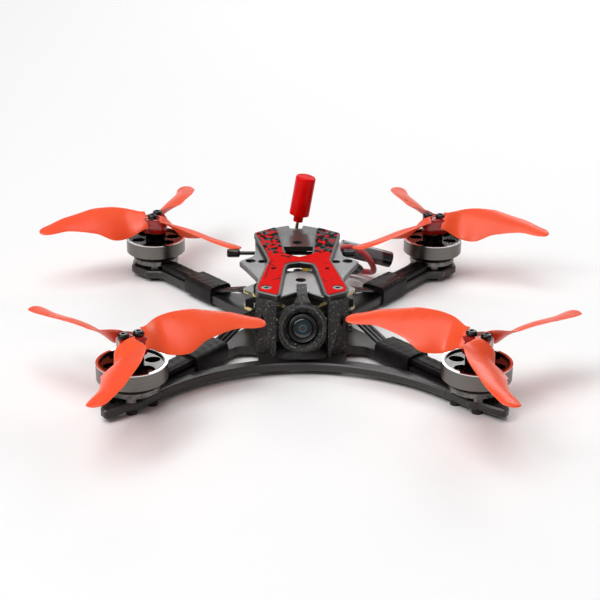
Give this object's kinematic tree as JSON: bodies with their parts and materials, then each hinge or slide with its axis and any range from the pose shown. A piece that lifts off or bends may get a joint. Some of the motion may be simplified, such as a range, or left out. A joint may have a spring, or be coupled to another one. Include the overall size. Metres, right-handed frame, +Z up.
{
  "type": "fpv racing drone",
  "caption": "Small X-frame racing quadcopter with open propellers, a flat deck over its electronics, a tilting camera pod, an upright antenna and a battery lead.",
  "frame": {"origin": "middle of the frame in plan, on the ground under the motor screw heads", "axes": "+Z up, the nose and camera point to -Y, +X is the left side of the aircraft"},
  "size_m": [0.1936, 0.2013, 0.0442],
  "materials": {
    "carbon": "dark carbon-fibre laminate, satin, pale cut edges",
    "sticker": "glossy printed vinyl film, red with black lines",
    "tpu": "rough black printed elastomer with fine layer lines",
    "camera_case": "fine-grained moulded black plastic",
    "lens_black": "smooth black anodised barrel",
    "lens_glass": "coated glass with an amber and blue sheen",
    "brass": "polished brass",
    "red_cap": "glossy moulded red plastic",
    "wire_black": "smooth soft silicone insulation",
    "pcb": "black solder mask with gold pads at the edge",
    "component": "moulded chip packages and a pale connector shell",
    "post_metal": "satin turned aluminium",
    "screw_black": "black oxide steel with a soft gloss",
    "capacitor": "grey translucent heat-shrink over a can",
    "lead_red": "soft red silicone insulation",
    "plug_yellow": "moulded nylon",
    "sleeve": "black heat-shrink sleeve",
    "steel": "ground steel",
    "base_metal": "grey anodised machined aluminium",
    "stator": "dark lacquered steel laminations",
    "copper": "enamelled copper wire",
    "bell_chrome": "glossy dark plated aluminium",
    "ring_metal": "warm grey metal with fine lines round it and a bright rim",
    "prop_plastic": "translucent red polycarbonate"
  },
  "bodies": {
    "root": {"antenna_cap": "red_cap", "antenna_mount": "tpu", "antenna_stem": "brass", "battery_plug": "plug_yellow", "board_components": "component", "capacitor": "capacitor", "control_board": "pcb", "countersunk_screws": "screw_black", "deck_sticker": "sticker", "esc_board": "pcb", "frame_plate": "carbon", "m2_screws": "screw_black", "motor_base_front_left": "base_metal", "motor_base_front_right": "base_metal", "motor_base_rear_left": "base_metal", "motor_base_rear_right": "base_metal", "motor_bearings": "steel", "motor_leads": "wire_black", "power_lead_black": "wire_black", "power_lead_red": "lead_red", "receiver_antenna": "wire_black", "side_mount_left": "tpu", "side_mount_right": "tpu", "stack_nuts": "post_metal", "standoffs": "post_metal", "stator_front_left": "stator", "stator_front_right": "stator", "stator_rear_left": "stator", "stator_rear_right": "stator", "top_deck": "carbon", "windings_front_left": "copper", "windings_front_right": "copper", "windings_rear_left": "copper", "windings_rear_right": "copper", "wire_sleeves": "sleeve", "x_brace": "carbon"},
    "rotor_front_right": {"bell_front_right": "bell_chrome", "flux_ring_front_right": "ring_metal", "shaft_front_right": "steel", "propeller_front_right": "prop_plastic", "prop_screws_front_right": "screw_black"},
    "rotor_front_left": {"bell_front_left": "bell_chrome", "flux_ring_front_left": "ring_metal", "shaft_front_left": "steel", "propeller_front_left": "prop_plastic", "prop_screws_front_left": "screw_black"},
    "rotor_rear_right": {"bell_rear_right": "bell_chrome", "flux_ring_rear_right": "ring_metal", "shaft_rear_right": "steel", "propeller_rear_right": "prop_plastic", "prop_screws_rear_right": "screw_black"},
    "rotor_rear_left": {"bell_rear_left": "bell_chrome", "flux_ring_rear_left": "ring_metal", "shaft_rear_left": "steel", "propeller_rear_left": "prop_plastic", "prop_screws_rear_left": "screw_black"},
    "camera": {"camera_pod": "tpu", "camera_body": "camera_case", "camera_lens": "lens_black", "lens_glass": "lens_glass"}
  },
  "joints": [
    {"name": "spin_front_right", "type": "hinge", "parent": "root", "child": "rotor_front_right", "pos_m": [-0.0538, -0.0566, 0.02], "axis": [0, 0, 1], "continuous": true},
    {"name": "spin_front_left", "type": "hinge", "parent": "root", "child": "rotor_front_left", "pos_m": [0.0538, -0.0566, 0.02], "axis": [0, 0, 1], "continuous": true},
    {"name": "spin_rear_right", "type": "hinge", "parent": "root", "child": "rotor_rear_right", "pos_m": [-0.0538, 0.0566, 0.02], "axis": [0, 0, 1], "continuous": true},
    {"name": "spin_rear_left", "type": "hinge", "parent": "root", "child": "rotor_rear_left", "pos_m": [0.0538, 0.0566, 0.02], "axis": [0, 0, 1], "continuous": true},
    {"name": "camera_tilt", "type": "hinge", "parent": "root", "child": "camera", "pos_m": [0, -0.0258, 0.0128], "axis": [1, 0, 0], "range_deg": [0, 20]}
  ]
}
